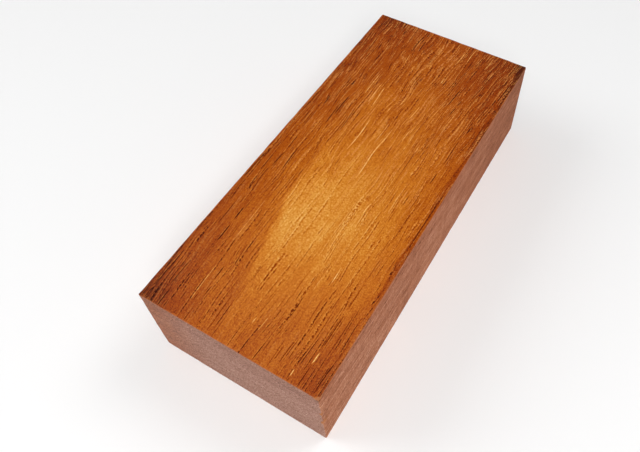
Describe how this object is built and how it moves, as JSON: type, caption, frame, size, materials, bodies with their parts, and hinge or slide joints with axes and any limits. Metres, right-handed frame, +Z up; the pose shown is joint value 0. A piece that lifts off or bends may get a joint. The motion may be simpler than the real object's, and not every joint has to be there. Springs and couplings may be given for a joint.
{
  "type": "merbau wood blank",
  "caption": "Rectangular sawn block of merbau hardwood, planed and oiled on top, raw on its sides and ends, with lightly worn edges.",
  "frame": {"origin": "middle of the underside", "axes": "+Y along the grain from the near end to the far end, +X across the width, +Z up through the thickness towards the oiled face"},
  "size_m": [0.0644, 0.15, 0.036],
  "materials": {
    "merbau": "top planed and oiled to a satin orange brown, sides and ends raw, dull and pinkish brown"
  },
  "bodies": {
    "root": {"merbau_blank": "merbau"}
  },
  "joints": []
}
